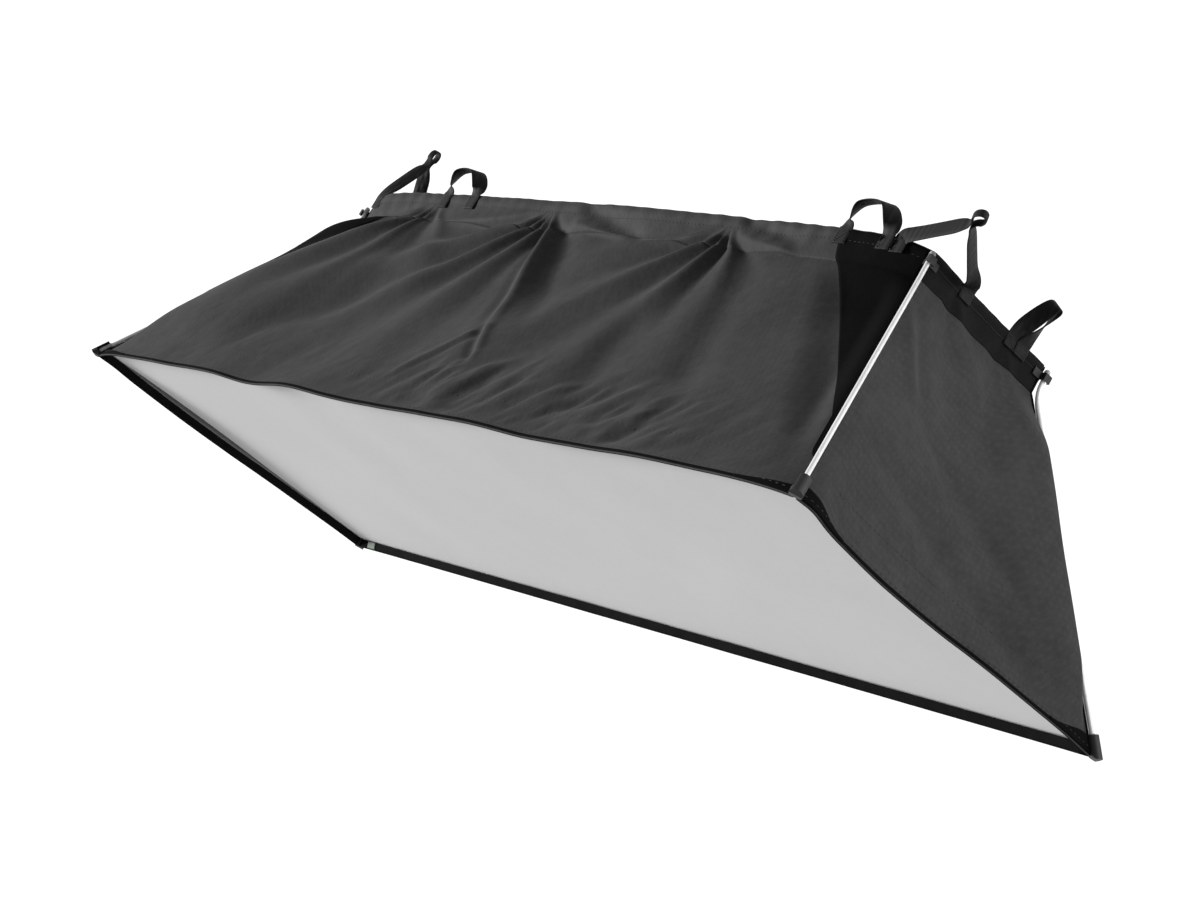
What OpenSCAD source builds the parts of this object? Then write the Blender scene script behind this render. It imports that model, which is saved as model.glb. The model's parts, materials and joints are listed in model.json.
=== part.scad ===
// Strip softbox: a long four-sided cloth light bag held open by a corner rod on each edge.
// X runs along the long side, the lit front faces -Y, +Z is up, and the origin is the
// centre of the rear opening, in the plane of its hem.

/* [Front] */
// Width of the lit front
front_w = 1600; // [1300:10:1800]
// Height of the lit front
front_h = 580; // [460:10:700]
// Distance from the rear hem to the front edge
depth = 410; // [340:10:480]
// How far the diffuser sits behind the front edge
recess = 14; // [12:1:24]
// Width of the black hem inside the front edge
hem_w = 48; // [44:1:70]

/* [Rear opening] */
// Clear width of the rear opening
rear_w = 1220; // [1100:10:1280]
// Clear height of the rear opening
rear_h = 240; // [230:10:300]
// Length of the straight collar around the rear opening
collar_d = 40; // [36:1:50]

/* [Cloth] */
// Thickness of the black outer cloth
cloth_t = 1.6; // [1.2:0.1:2]
// Thickness of the silver lining
lining_t = 0.8; // [0.6:0.1:1]
// Thickness of the doubled cloth of the collar
collar_t = 2.4; // [2:0.1:3]
// Thickness of a hem or of one side of the hook-and-loop tape
tape_t = 1.2; // [1:0.1:1.4]
// Width of the hook-and-loop tape
tape_w = 20; // [16:1:22]

/* [Rods] */
// Diameter of a corner rod
rod_d = 6; // [5:0.5:7]
// Diameter of a rod's end fittings
ferrule_d = 8; // [7.5:0.1:8.4]
// Radius of the bend where a rod passes the collar
rod_bend_r = 60; // [50:5:70]
// Distance from a corner seam to the rod's centre, across and up
rod_gap = 6; // [5.8:0.1:6.5]

/* [Webbing] */
// Width of the webbing
web_w = 24; // [20:1:26]
// Thickness of the webbing
web_t = 2; // [1.6:0.1:2.4]
// Length of the webbing loops' hoop along the long hems
loop_span = 90; // [80:1:94]
// How far those loops reach behind the hem
loop_reach = 33; // [30:1:38]
// Length of the side loops' hoop along the short hems
side_loop_span = 38; // [34:1:44]
// How far the side loops reach behind the hem
side_loop_reach = 54; // [46:1:58]
// Radius of the hole in a corner strap's eye
eye_r = 7; // [6:0.5:8]

/* [Hidden] */
$fn = 48;

black = [0.10, 0.10, 0.11];
silver = [0.82, 0.83, 0.84];
big = 4000;             // longer than the whole bag, for cutting slabs
corner_trim = 3;        // how far an inner layer stops short of a corner seam
fit_gap = 0.35;         // air between the two halves of the hook-and-loop tape
skin_gap = 0.05;        // air between the lining and the cloth that it lies on

// Half sizes of the bag's inside at a distance y behind or before the rear hem
neck_y = -collar_d;
front_y = -depth;
slope_l = depth - collar_d;
function along(y) = max(0, (neck_y - y) / slope_l);
function half_w(y) = rear_w / 2 + (front_w - rear_w) / 2 * along(y);
function half_h(y) = rear_h / 2 + (front_h - rear_h) / 2 * along(y);

// Directions at the top right corner: along the seam, out from it, and across it
function unit(v) = v / norm(v);
seam_dir = unit([rear_w / 2 - front_w / 2, slope_l, rear_h / 2 - front_h / 2]);
bend_dir = unit([0, 1, 0] - seam_dir[1] * seam_dir);
lift_dir = cross(bend_dir, seam_dir);
bend_deg = acos(seam_dir[1]);

// Rod, measured from the ball in its front cup
cup_inset = 13;
cup_pos = [front_w / 2 + rod_gap, front_y, front_h / 2 + rod_gap] + cup_inset * seam_dir;
seam_l = slope_l / seam_dir[1] - cup_inset;
bend_tangent = rod_bend_r * tan(bend_deg / 2);
tip_l = 18;
cap_l = 11;
cap_end_y = -3;
cup_r = 8;
cup_l = 16;
cup_slot = 4;           // how far the swing slot runs past the ball's centre
socket_r = ferrule_d / 2 + 0.8;
swing_reach = 40;

// Corner strap: a V of webbing from the top hem to the side hem, with an eye at its point
root_gap = 4;           // from the hinge line at the hem to the moving webbing
strap_top = [rear_w / 2 - 30, 0, rear_h / 2 + collar_t / 2];
strap_side = [rear_w / 2 + collar_t / 2, 0, rear_h / 2 - 75];
strap_l = norm(strap_side - strap_top);
strap_axis = unit(strap_side - strap_top);
strap_out = cross(strap_axis, [0, 1, 0]);
eye_at = [12.8, 115];   // along the hinge line, and away from it
eye_wall = 2.2;
eye_l = 12;
strap_tip_w = 11;
right_strap_lean = 75;  // leaning out
left_strap_lean = -10;  // leaning in

// Webbing loops: the hem position of each loop's middle, and how far it leans out
top_loop_left_x = -340;
top_loop_right_x = 510;
side_loop_z = -65;
top_loop_lean = 20;
side_loop_lean = 34;
loop_foot = 14;         // length of the flat feet that carry the hoop
patch_l = 20;

// ---- walls --------------------------------------------------------------------------

// A layer of the upper wall from y0 to y1, its inner face lifted by "lift" off the wall line
module upper(y0, y1, lift, t, trim) {
    intersection() {
        rotate([90, 0, 90])
            linear_extrude(big, center = true)
                polygon([[y0, half_h(y0) + lift], [y0, half_h(y0) + lift + t],
                         [y1, half_h(y1) + lift + t], [y1, half_h(y1) + lift]]);
        linear_extrude(big, center = true)
            polygon([[half_w(y0) - trim, y0], [half_w(y1) - trim, y1],
                     [trim - half_w(y1), y1], [trim - half_w(y0), y0]]);
    }
}

// The same for the right-hand wall
module right_side(y0, y1, lift, t, trim) {
    intersection() {
        linear_extrude(big, center = true)
            polygon([[half_w(y0) + lift, y0], [half_w(y0) + lift + t, y0],
                     [half_w(y1) + lift + t, y1], [half_w(y1) + lift, y1]]);
        rotate([90, 0, 90])
            linear_extrude(big, center = true)
                polygon([[y0, half_h(y0) - trim], [y1, half_h(y1) - trim],
                         [y1, trim - half_h(y1)], [y0, trim - half_h(y0)]]);
    }
}

// One layer on the wall named by side
module wall(side, y0, y1, lift, t, trim = 0) {
    if (side == "top") upper(y0, y1, lift, t, trim);
    if (side == "bottom") mirror([0, 0, 1]) upper(y0, y1, lift, t, trim);
    if (side == "right") right_side(y0, y1, lift, t, trim);
    if (side == "left") mirror([1, 0, 0]) right_side(y0, y1, lift, t, trim);
}

module panel(side) {
    color(black) wall(side, neck_y, front_y, 0, cloth_t);
}

module lining(side) {
    color(silver) wall(side, neck_y - 1, front_y + hem_w, -lining_t - skin_gap, lining_t, corner_trim);
}

module collar(side) {
    color(black) wall(side, 0, neck_y, 0, collar_t);
}

module hem(side) {
    color(black) wall(side, front_y + hem_w, front_y, -tape_t, tape_t, corner_trim);
}

tape_y = front_y + recess;

module loop_tape(side) {
    color(black) wall(side, tape_y + tape_w, tape_y, -2 * tape_t, tape_t, 2 * corner_trim);
}

// Elastic that draws the rear hem in, one length along each side
module collar_elastic() {
    color(black)
        for (side = ["top", "bottom", "left", "right"])
            wall(side, -4, -14, -1, 1, 2);
}

// ---- diffuser -----------------------------------------------------------------------

hook_lift = 2 * tape_t + fit_gap;

module hook_tape(side) {
    color(black)
        wall(side, tape_y + tape_w, tape_y, -hook_lift - tape_t, tape_t, 3 * corner_trim);
}

module diffuser_cloth() {
    sheet_w = 2 * (half_w(tape_y) - hook_lift);
    sheet_h = 2 * (half_h(tape_y) - hook_lift);
    color([0.86, 0.86, 0.86])
        translate([-sheet_w / 2, tape_y - tape_t, -sheet_h / 2])
            cube([sheet_w, tape_t, sheet_h]);
}

// ---- corner rods --------------------------------------------------------------------

// Puts a top right corner piece on the corner named by its side and height
module corner(side, level) {
    mirror([side == "left" ? 1 : 0, 0, 0])
        mirror([0, 0, level == "bottom" ? 1 : 0])
            children();
}

// Frame of the top right rod: x is the way it lifts out, y out from the seam, z along it
module at_cup() {
    multmatrix([[lift_dir[0], bend_dir[0], seam_dir[0], cup_pos[0]],
                [lift_dir[1], bend_dir[1], seam_dir[1], cup_pos[1]],
                [lift_dir[2], bend_dir[2], seam_dir[2], cup_pos[2]],
                [0, 0, 0, 1]])
        children();
}

module rod() {
    color("gainsboro") {
        at_cup() {
            translate([0, 0, tip_l])
                cylinder(d = rod_d, h = seam_l - bend_tangent - tip_l);
            translate([0, rod_bend_r, seam_l - bend_tangent])
                rotate([90, 0, -90])
                    rotate_extrude(angle = bend_deg)
                        translate([rod_bend_r, 0]) circle(d = rod_d);
        }
        rear_x = rear_w / 2 + rod_gap;
        rear_z = rear_h / 2 + rod_gap;
        rear_l = collar_d - bend_tangent + cap_end_y - cap_l;
        translate([rear_x, neck_y + bend_tangent, rear_z])
            rotate([-90, 0, 0])
                cylinder(d = rod_d, h = rear_l);
    }
}

// Ball-ended ferrule at a rod's front end
module rod_tip() {
    color("dimgray") at_cup() {
        sphere(d = ferrule_d);
        cylinder(d = ferrule_d, h = tip_l);
    }
}

// Rounded cap at a rod's rear end
module rod_cap() {
    color("dimgray")
        translate([rear_w / 2 + rod_gap, cap_end_y, rear_h / 2 + rod_gap])
            rotate([90, 0, 0]) {
                translate([0, 0, ferrule_d / 2]) sphere(d = ferrule_d);
                translate([0, 0, ferrule_d / 2]) cylinder(d = ferrule_d, h = cap_l - ferrule_d / 2);
            }
}

// Cup sewn over the front corner, slotted so that the rod can swing out of its keeper
module cup() {
    color(black)
        difference() {
            intersection() {
                at_cup() translate([0, 0, -cup_inset]) cylinder(r = cup_r, h = cup_l + cup_inset);
                translate([0, front_y, 0]) cube(big);
            }
            at_cup() {
                sphere(r = socket_r);
                cylinder(r = socket_r, h = 2 * cup_l);
                translate([0, -socket_r, -cup_slot]) cube([swing_reach, 2 * socket_r, 2 * cup_l]);
            }
            upper(neck_y, front_y, -swing_reach, swing_reach + cloth_t, 0);
            right_side(neck_y, front_y, -swing_reach, swing_reach + cloth_t, 0);
        }
}

// Saddle on the collar's corner that holds a rod's rear end, open the way the rod lifts
module keeper() {
    keeper_w = 2 * rod_gap;
    keeper_l = 10;
    keeper_end_y = -10;
    tab_w = 14;
    tab_t = 1.6;
    bite = 0.6;
    slot_deg = atan2(lift_dir[2], lift_dir[0]);
    color(black)
        translate([rear_w / 2, keeper_end_y, rear_h / 2])
            rotate([90, 0, 0])
                linear_extrude(keeper_l)
                    union() {
                        difference() {
                            square(keeper_w);
                            translate([rod_gap, rod_gap]) circle(r = socket_r);
                            translate([rod_gap, rod_gap]) rotate(slot_deg)
                                translate([0, -socket_r]) square([swing_reach, 2 * socket_r]);
                        }
                        translate([-tab_w, collar_t]) square([tab_w + bite, tab_t]);
                        translate([collar_t, -tab_w]) square([tab_t, tab_w + bite]);
                    }
}

// ---- webbing ------------------------------------------------------------------------

// Strap frame: x along the hinge line, y away from it, z across the webbing's face
module at_strap(lean) {
    reach = cos(lean) * [0, 1, 0] + sin(lean) * strap_out;
    face = cross(strap_axis, reach);
    multmatrix([[strap_axis[0], reach[0], face[0], strap_top[0]],
                [strap_axis[1], reach[1], face[1], strap_top[1]],
                [strap_axis[2], reach[2], face[2], strap_top[2]],
                [0, 0, 0, 1]])
        children();
}

module corner_strap(lean) {
    color(black) at_strap(lean)
        difference() {
            union() {
                for (root = [0, strap_l])
                    linear_extrude(web_t, center = true)
                        polygon([[root - web_w / 2, root_gap], [root + web_w / 2, root_gap],
                                 [eye_at[0] + strap_tip_w / 2, eye_at[1] - eye_r],
                                 [eye_at[0] - strap_tip_w / 2, eye_at[1] - eye_r]]);
                translate([eye_at[0], eye_at[1], -eye_l / 2])
                    cylinder(r = eye_r + eye_wall, h = eye_l);
            }
            translate([eye_at[0], eye_at[1], -eye_l]) cylinder(r = eye_r, h = 2 * eye_l);
        }
}

// Outline of a hoop of webbing seen along its width, shrunk by "inset" for its inside
module hoop_outline(span, reach, inset) {
    half = span / 2 - inset;
    shoulder = reach * 0.55;
    polygon([[-half, 0], [-half, shoulder], [-half / 2, reach - inset],
             [half / 2, reach - inset], [half, shoulder], [half, 0]]);
}

// A loop standing on a hem: x along the hem, y behind it, z out of the bag
module web_loop(span, reach) {
    foot_w = min(web_w - 4, span / 2 - 4);
    for (s = [-1, 1])
        translate([s * (span / 2 - foot_w / 2), (root_gap + loop_foot) / 2, 0])
            cube([foot_w, loop_foot - root_gap, web_t], center = true);
    translate([0, loop_foot - 1, 0])
        linear_extrude(web_w - 2, center = true)
            difference() {
                hoop_outline(span, reach - loop_foot + 1, 0);
                translate([0, -1]) hoop_outline(span, reach - loop_foot + 2, web_t);
            }
}

module long_hem_loop(x, level) {
    color(black) mirror([0, 0, level == "bottom" ? 1 : 0])
        translate([x, 0, rear_h / 2 + collar_t / 2])
            rotate([top_loop_lean, 0, 0])
                web_loop(loop_span, loop_reach);
}

module short_hem_loop(side) {
    color(black) mirror([side == "left" ? 1 : 0, 0, 0])
        translate([rear_w / 2 + collar_t / 2, 0, side_loop_z])
            rotate([0, 90, 0]) rotate([side_loop_lean, 0, 0])
                web_loop(side_loop_span, side_loop_reach);
}

// Sewn-down ends of the webbing, flat on the outside of the collar
module patch_on_top(x, w) {
    translate([x - w / 2, -patch_l, rear_h / 2 + collar_t]) cube([w, patch_l, tape_t]);
}

module patch_on_side(z, w) {
    translate([rear_w / 2 + collar_t, -patch_l, z - w / 2]) cube([tape_t, patch_l, w]);
}

module webbing_patches() {
    foot_w = web_w - 4;
    top_offset = loop_span / 2 - foot_w / 2;
    color(black) {
        for (side = [0, 1]) mirror([side, 0, 0]) {
            patch_on_top(strap_top[0], web_w);
            patch_on_side(strap_side[2], web_w);
            patch_on_side(side_loop_z, side_loop_span);
        }
        for (level = [0, 1]) mirror([0, 0, level])
            for (x = [top_loop_left_x, top_loop_right_x], s = [-1, 1])
                patch_on_top(x + s * top_offset, foot_w);
    }
}

// Plain cloth tag sewn inside the bottom hem, near the left corner
module label() {
    tag_w = 20;
    tag_l = recess - 4;
    tag_t = 0.8;
    color("darkslategray")
        intersection() {
            wall("bottom", front_y + 2 + tag_l, front_y + 2, -tape_t - tag_t, tag_t);
            translate([-front_w / 2 + 30, -big / 2, -big / 2]) cube([tag_w, big, big]);
        }
}

// ---- nodes --------------------------------------------------------------------------

panel("top");  // panel_top
panel("bottom");  // panel_bottom
panel("left");  // panel_left
panel("right");  // panel_right
lining("top");  // lining_top
lining("bottom");  // lining_bottom
lining("left");  // lining_left
lining("right");  // lining_right
collar("top");  // collar_top
collar("bottom");  // collar_bottom
collar("left");  // collar_left
collar("right");  // collar_right
collar_elastic();
hem("top");  // hem_top
hem("bottom");  // hem_bottom
hem("left");  // hem_left
hem("right");  // hem_right
loop_tape("top");  // loop_tape_top
loop_tape("bottom");  // loop_tape_bottom
loop_tape("left");  // loop_tape_left
loop_tape("right");  // loop_tape_right
diffuser_cloth();
hook_tape("top");  // hook_tape_top
hook_tape("bottom");  // hook_tape_bottom
hook_tape("left");  // hook_tape_left
hook_tape("right");  // hook_tape_right
corner("left", "top") cup();  // cup_top_left
corner("right", "top") cup();  // cup_top_right
corner("left", "bottom") cup();  // cup_bottom_left
corner("right", "bottom") cup();  // cup_bottom_right
corner("left", "top") rod();  // rod_top_left
corner("right", "top") rod();  // rod_top_right
corner("left", "bottom") rod();  // rod_bottom_left
corner("right", "bottom") rod();  // rod_bottom_right
corner("left", "top") rod_tip();  // rod_tip_top_left
corner("right", "top") rod_tip();  // rod_tip_top_right
corner("left", "bottom") rod_tip();  // rod_tip_bottom_left
corner("right", "bottom") rod_tip();  // rod_tip_bottom_right
corner("left", "top") rod_cap();  // rod_cap_top_left
corner("right", "top") rod_cap();  // rod_cap_top_right
corner("left", "bottom") rod_cap();  // rod_cap_bottom_left
corner("right", "bottom") rod_cap();  // rod_cap_bottom_right
corner("left", "top") keeper();  // keeper_top_left
corner("right", "top") keeper();  // keeper_top_right
corner("left", "bottom") keeper();  // keeper_bottom_left
corner("right", "bottom") keeper();  // keeper_bottom_right
corner("left", "top") corner_strap(left_strap_lean);  // corner_strap_left
corner_strap(right_strap_lean);  // corner_strap_right
long_hem_loop(top_loop_left_x, "top");  // loop_top_left
long_hem_loop(top_loop_right_x, "top");  // loop_top_right
long_hem_loop(top_loop_left_x, "bottom");  // loop_bottom_left
long_hem_loop(top_loop_right_x, "bottom");  // loop_bottom_right
short_hem_loop("left");  // loop_side_left
short_hem_loop("right");  // loop_side_right
webbing_patches();
label();
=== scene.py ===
import json
import math

import bpy
import numpy as np
from mathutils import Matrix, Vector


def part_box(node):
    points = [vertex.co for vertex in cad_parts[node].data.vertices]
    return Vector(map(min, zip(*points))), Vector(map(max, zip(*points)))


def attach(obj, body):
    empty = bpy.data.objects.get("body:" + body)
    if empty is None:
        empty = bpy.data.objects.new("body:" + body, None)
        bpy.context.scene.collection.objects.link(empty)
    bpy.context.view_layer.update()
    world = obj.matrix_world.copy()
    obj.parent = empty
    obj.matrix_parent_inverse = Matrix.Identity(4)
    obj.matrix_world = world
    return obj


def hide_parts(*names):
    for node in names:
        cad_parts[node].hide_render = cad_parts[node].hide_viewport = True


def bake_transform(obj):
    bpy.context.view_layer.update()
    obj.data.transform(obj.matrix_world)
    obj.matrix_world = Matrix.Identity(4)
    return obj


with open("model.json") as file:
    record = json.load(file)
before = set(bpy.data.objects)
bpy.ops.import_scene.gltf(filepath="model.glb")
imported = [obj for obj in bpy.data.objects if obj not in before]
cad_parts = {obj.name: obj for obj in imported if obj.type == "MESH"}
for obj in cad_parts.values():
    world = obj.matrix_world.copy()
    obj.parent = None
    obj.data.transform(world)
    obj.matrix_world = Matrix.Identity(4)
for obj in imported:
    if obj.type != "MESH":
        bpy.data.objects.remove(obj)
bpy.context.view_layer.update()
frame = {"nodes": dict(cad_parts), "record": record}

# Sizes taken from the frame, in metres. Half sizes are measured from the bag's axis.
FRONT_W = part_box("panel_top")[1].x
FRONT_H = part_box("panel_right")[1].z
FRONT_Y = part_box("panel_top")[0].y
NECK_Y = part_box("panel_top")[1].y
REAR_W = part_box("collar_top")[1].x
REAR_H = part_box("collar_right")[1].z
HEM_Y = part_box("hem_top")[1].y
TAPE_BACK_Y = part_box("loop_tape_top")[1].y
DIFFUSER_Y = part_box("diffuser_cloth")[0].y
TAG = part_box("label")
SLOPE_Y = NECK_Y - FRONT_Y
SIDES = ("top", "bottom", "left", "right")
LONG_SIDES = ("top", "bottom")
CORNERS = [(level, side) for level in ("top", "bottom") for side in ("left", "right")]
SIGN = {"top": 1, "bottom": -1, "left": -1, "right": 1}
JOINTS = {joint["name"]: joint for joint in frame["record"]["behaviour"]["joints"]}
MM = 0.001

# Layers of cloth, as heights off the wall line
OUTER = (0.0, 1.4 * MM)
LINING = (-1.1 * MM, -0.3 * MM)
HEM = (-1.1 * MM, -0.1 * MM)
LOOP_TAPE = (-2.3 * MM, -1.15 * MM)
HOOK_TAPE = (-3.8 * MM, -2.7 * MM)
BINDING = (1.5 * MM, 2.1 * MM)
ELASTIC_LIFT = (-1.2 * MM, -0.2 * MM)
ELASTIC_Y = (-4 * MM, -14 * MM)
TAG_LIFT = (-2.4 * MM, -1.5 * MM)
CORNER_TRIM = 3 * MM    # how far an inner layer stops short of a corner seam
COLLAR_L = 40 * MM      # the straight collar, from the neck to the rear hem
NECK_TURN = 20 * MM     # a wall turns into the collar over this far on each side of the neck


# ---- cloth relief -----------------------------------------------------------------------

LATTICE_SIZE = 64
LATTICE_SEED = 7
LATTICE = np.random.default_rng(LATTICE_SEED).uniform(-1, 1, (LATTICE_SIZE, LATTICE_SIZE))


def smooth(t):
    """0 below 0, 1 above 1, and an even curve between."""
    t = np.clip(t, 0, 1)
    return t * t * (3 - 2 * t)


def noise(x, y):
    """Smooth random heights from -1 to 1, about one bump per unit."""
    column, row = np.floor(x).astype(int), np.floor(y).astype(int)
    across, up = smooth(x - column), smooth(y - row)

    def corner(i, j):
        return LATTICE[(column + i) % LATTICE_SIZE, (row + j) % LATTICE_SIZE]

    low = corner(0, 0) * (1 - across) + corner(1, 0) * across
    high = corner(0, 1) * (1 - across) + corner(1, 1) * across
    return low * (1 - up) + high * up


def bump(value, centre, width):
    """1 at the centre, falling to 0 over about twice the width."""
    return np.exp(-(((value - centre) / width) ** 2))


def between_seams(u, power):
    """1 over the middle of a wall, falling to 0 at its corner seams."""
    return 1 - np.abs(u) ** power


GATHER_BACK = 0.030     # how far behind the neck the gathered stitches are
FAN_START = 0.020       # the folds come in over this far forward of them
FAN_RISE = 0.030        # the distance from its stitch at which a fold has half its height


def fan(a, d, centre, folds, reach):
    """Folds that run out from one gathered stitch at "centre" on the collar."""
    x, y = a - centre, np.maximum(d + GATHER_BACK, 0) + 4 * MM
    far = np.hypot(x, y)
    direction = np.degrees(np.arctan2(y, x))
    strength = far / (far + FAN_RISE) * np.exp(-((far / reach) ** 1.5))
    strength = strength * smooth((d + GATHER_BACK) / FAN_START)
    return strength * sum(height * bump(direction, angle, spread) for angle, spread, height in folds)


def beside_line(a, d, start, end, width):
    """How far along a line each place is, from 0 to 1, and how many widths to one side of it."""
    line = np.array(end) - np.array(start)
    length = np.hypot(*line)
    across, forward = a - start[0], d - start[1]
    along = (across * line[0] + forward * line[1]) / length**2
    off = (across * line[1] - forward * line[0]) / length / width
    return along, off


def crease(a, d, start, end, width, height):
    """A sharp fold from start to end: a ridge on one side of the line and a valley on the other."""
    along, off = beside_line(a, d, start, end, width)
    inside = smooth(along / 0.15) * smooth((1 - along) / 0.25)
    return height * off * np.exp(-off * off) * inside


def valley(a, d, start, end, width, depth):
    """A soft hollow from start to end, tapering off at both ends."""
    along, off = beside_line(a, d, start, end, width)
    return -depth * np.exp(-off * off) * smooth((along + 0.1) / 0.3) * smooth((1.1 - along) / 0.4)


def all_folds(a, d, fans, creases, valleys):
    """The folds of one wall together."""
    height = np.zeros_like(a + d)
    for kind, folds in ((fan, fans), (crease, creases), (valley, valleys)):
        for fold in folds:
            height = height + kind(a, d, *fold)
    return height


# The larger folds of the walls. Places are (across, forward from the neck) in metres.
# A fan is its stitch's place across, its folds, and their reach. A fold of a fan is its direction
# and spread in degrees, and its height. Creases and valleys are start, end, width and height.
TOP_FANS = (
    (-0.10, [(152, 5, 0.012), (162, 5, -0.009), (142, 5, -0.009), (131, 6, 0.011), (118, 7, -0.007),
             (102, 9, 0.008), (84, 7, -0.005), (62, 8, 0.010), (38, 10, -0.007), (171, 4, 0.008)], 0.38),
    (0.275, [(38, 9, -0.006), (58, 8, 0.008), (78, 7, -0.008), (96, 8, 0.010), (113, 7, -0.007),
             (131, 7, 0.011), (147, 6, -0.007), (160, 6, 0.009)], 0.30),
    (-0.385, [(50, 10, 0.006), (80, 12, -0.006), (112, 8, 0.009), (128, 6, -0.007), (140, 5, 0.010),
              (150, 4, -0.009), (159, 4, 0.009), (168, 4, -0.006)], 0.34),
)
TOP_CREASES = (
    ((-0.05, -0.028), (0.13, 0.006), 0.013, -0.014),
    ((0.285, -0.030), (0.42, -0.010), 0.011, -0.011),
    ((-0.10, -0.01), (0.045, 0.225), 0.013, 0.010),
    ((0.03, 0.20), (0.085, 0.275), 0.009, 0.008),
    ((0.04, 0.21), (-0.05, 0.33), 0.008, -0.006),
)
TOP_VALLEYS = (
    ((-0.03, 0.03), (0.10, 0.19), 0.022, 0.006),
    ((0.26, 0.12), (0.33, 0.33), 0.030, 0.009),
    ((0.34, 0.03), (0.50, 0.30), 0.035, 0.010),
    ((-0.30, 0.16), (-0.52, 0.30), 0.030, 0.006),
)
SIDE_FANS = (
    (0.06, [(60, 12, 0.005), (96, 14, -0.004), (130, 12, 0.004)], 0.24),
    (-0.05, [(50, 12, 0.004), (84, 12, -0.003), (124, 12, 0.004)], 0.24),
)
SIDE_CREASES = (((0.135, 0.03), (0.10, 0.16), 0.016, 0.006),)
SIDE_VALLEYS = (
    ((0.16, 0.24), (-0.22, 0.37), 0.020, 0.005),
    ((0.10, 0.16), (-0.20, 0.30), 0.018, 0.003),
)
PLAIN_FANS = tuple((centre, [(50, 9, 0.007), (78, 9, -0.006), (108, 9, 0.007), (138, 8, -0.005)], 0.2)
                   for centre in (-0.30, 0.02, 0.34))
HEM_BOW_OUT = 0.030     # how far the upper wall bows out at the rear, at its middle
HEM_BOW_BACK = 0.016    # how far the rear hem bows back there


def top_relief(a, d, u):
    """Height of the upper wall off its flat shape. a runs along X, d forward from the neck, and
    u from -1 to 1 across the wall."""
    t = np.clip(d / SLOPE_Y, 0, 1)
    # The wall bows out, most at the rear. It rolls over near the left rod and dips by the right one.
    crown = HEM_BOW_OUT * (1 - t) ** 1.3 * (1 - 0.35 * smooth(u)) + 0.010 * t
    crown = crown * between_seams(u, 14)
    middle = smooth(t / 0.15) * smooth((1 - t) / 0.3)
    left_roll = 0.017 * middle * smooth((1 + u) / 0.035) * (1 - smooth((u + 0.9) / 0.5))
    right_dip = 0.012 * middle * smooth((u - 0.74 - 0.20 * t) / 0.10) * smooth((0.99 - u) / 0.06)
    # Folds, and slow and quick unevenness between them
    folds = all_folds(a, d, TOP_FANS, TOP_CREASES, TOP_VALLEYS)
    folds += 0.0035 * noise(a * 5 + 3, d * 4) * smooth(t * 3)
    folds += 0.0016 * noise(a * 16, d * 9 + 5)
    # Slanting crumples in two stretches near the front edge, and a slight wave in the edge itself
    crumple = 0.0052 * noise(a * 36 + d * 26, d * 13 - a * 9) + 0.0020 * noise(a * 80 + d * 40, d * 40)
    near_front = smooth((t - 0.60) / 0.2) * smooth((1 - t) / 0.08)
    near_front = near_front * (bump(a, 0.14, 0.14) + bump(a, 0.44, 0.12) + 0.15)
    hem_wave = 0.004 * smooth((t - 0.8) / 0.2) * noise(a * 9 + 2, d * 2)
    wrinkles = folds * (1 - 0.6 * t**4) + crumple * near_front + hem_wave
    return crown + left_roll - right_dip + between_seams(u, 16) * wrinkles


def side_relief(a, d, u):
    """Height of a side wall off its flat shape. a runs along Z, d forward from the neck."""
    t = np.clip(d / SLOPE_Y, 0, 1)
    # The front edge is drawn in above its middle, and the wall rolls out near its lower rod
    bow = -0.012 * t**2 * bump(u, 0.35, 0.55) + 0.006 * t**3 * bump(u, 0.92, 0.10)
    bow = bow - 0.004 * (1 - t) * (1 - u * u)
    middle = smooth(t / 0.2) * smooth((1 - t) / 0.25)
    roll = 0.016 * middle * smooth((1 + u) / 0.06) * (1 - smooth((u + 0.9) / 0.7))
    folds = all_folds(a, d, SIDE_FANS, SIDE_CREASES, SIDE_VALLEYS)
    folds += 0.003 * noise(a * 9 + 11, d * 6 + 2) + 0.0010 * noise(a * 24 + 4, d * 18)
    return roll + between_seams(u, 12) * (bow + folds * (1 - 0.6 * t**4))


def plain_relief(a, d, u):
    """A quieter wall: a slight crown and soft folds from the collar."""
    t = np.clip(d / SLOPE_Y, 0, 1)
    crown = 0.012 * (1 - t) + 0.004 * t
    folds = all_folds(a, d, PLAIN_FANS, (), ())
    folds += 0.004 * noise(a * 6 + 20, d * 5) + 0.0015 * noise(a * 20, d * 12 + 7)
    return between_seams(u, 12) * (folds * (1 - 0.5 * t**4) + crown)


RELIEF = {"top": top_relief, "bottom": plain_relief, "left": side_relief, "right": side_relief}


def gathers(side, a, d):
    """Ripples that the elastic draws into the collar, strongest at the rear hem."""
    pitch = 0.034 if side in LONG_SIDES else 0.026
    phase = a / pitch + 1.3 * noise(a * 6 + 1, d * 3)
    ripple = np.sin(2 * math.pi * phase) * (0.6 + 0.4 * noise(a * 7, d * 2 + 3))
    return 1.1 * MM * smooth(-d / COLLAR_L) * ripple


def wall_half(side, y):
    """Half the width of a wall at y."""
    t = np.clip((NECK_Y - y) / SLOPE_Y, 0, 1)
    rear, front = (REAR_W, FRONT_W) if side in LONG_SIDES else (REAR_H, FRONT_H)
    return rear + (front - rear) * t


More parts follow.
